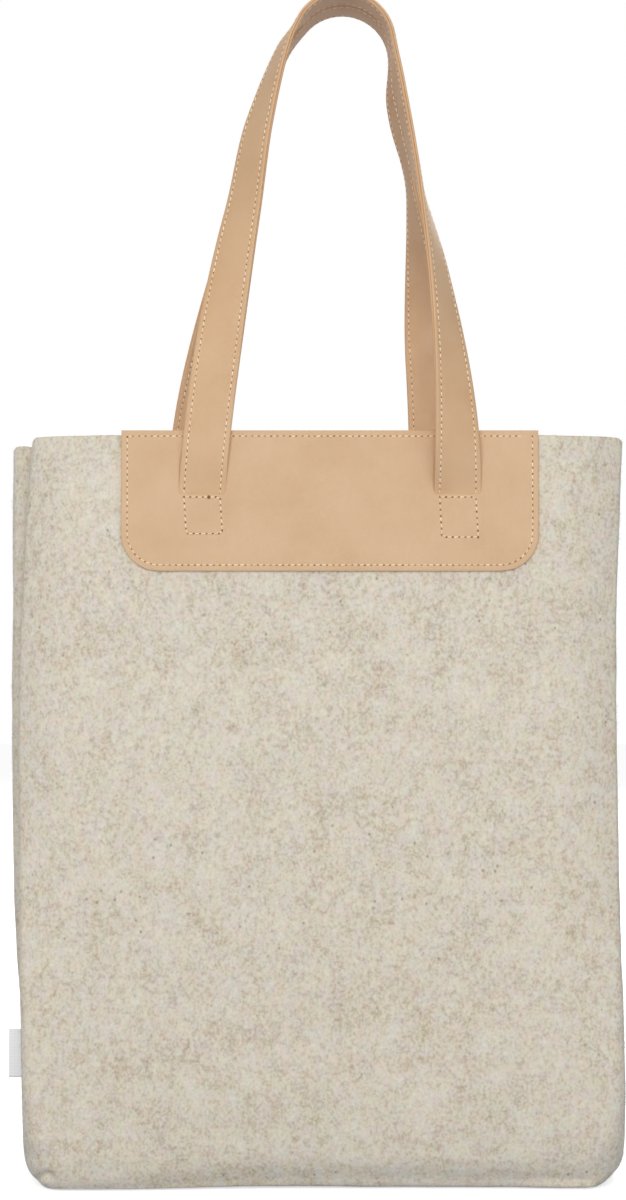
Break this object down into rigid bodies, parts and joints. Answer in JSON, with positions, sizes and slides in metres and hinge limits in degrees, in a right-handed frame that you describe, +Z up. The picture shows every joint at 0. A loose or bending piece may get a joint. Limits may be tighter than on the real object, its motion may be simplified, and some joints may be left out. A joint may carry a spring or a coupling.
{
  "type": "knitting bag",
  "caption": "Upright soft felt tote with folded side gussets, stitched leather patches and leather loop handles, for carrying knitting or hanging it on a hook.",
  "frame": {"origin": "middle of the flat underside of the base", "axes": "+Z up the bag to the handles, +X to the right of someone facing the front patch, front wall facing -Y"},
  "size_m": [0.3328, 0.0867, 0.6384],
  "materials": {
    "felt": "matte mottled wool felt",
    "leather": "smooth natural tan leather, low sheen",
    "lining": "smooth tan leather lining, low sheen",
    "label": "off-white woven tape"
  },
  "bodies": {
    "bag": {"front_panel": "felt", "base_panel": "felt", "left_gusset_front": "felt", "right_gusset_front": "felt", "front_patch": "leather", "front_left_strap_end": "leather", "front_right_strap_end": "leather"},
    "back_wall": {"back_panel": "felt", "left_gusset_back": "felt", "right_gusset_back": "felt", "back_patch": "leather", "back_left_strap_end": "leather", "back_right_strap_end": "leather"},
    "front_handle": {"front_handle_face": "leather", "front_handle_lining": "lining"},
    "back_handle": {"back_handle_face": "leather", "back_handle_lining": "lining"},
    "label": {"side_label": "label"}
  },
  "joints": [
    {"name": "mouth_opening", "type": "hinge", "parent": "bag", "child": "back_wall", "pos_m": [0, 0.0385, 0.018], "axis": [-1, 0, 0], "range_deg": [0, 4.5], "deforming": ["left_gusset_front", "left_gusset_back", "right_gusset_front", "right_gusset_back"]},
    {"name": "front_handle_swing", "type": "hinge", "parent": "bag", "child": "front_handle", "pos_m": [0, -0.03147, 0.37023], "axis": [1, 0, 0], "range_deg": [0, 160]},
    {"name": "back_handle_swing", "type": "hinge", "parent": "back_wall", "child": "back_handle", "pos_m": [-0.01092, 0.03147, 0.37023], "axis": [-1, 0, 0], "range_deg": [0, 170]},
    {"name": "label_flap", "type": "hinge", "parent": "bag", "child": "label", "pos_m": [-0.14879, 0, 0.0535], "axis": [0, 0, 1], "range_deg": [-25, 25], "stiffness_Nm_per_rad": 0.0004}
  ]
}
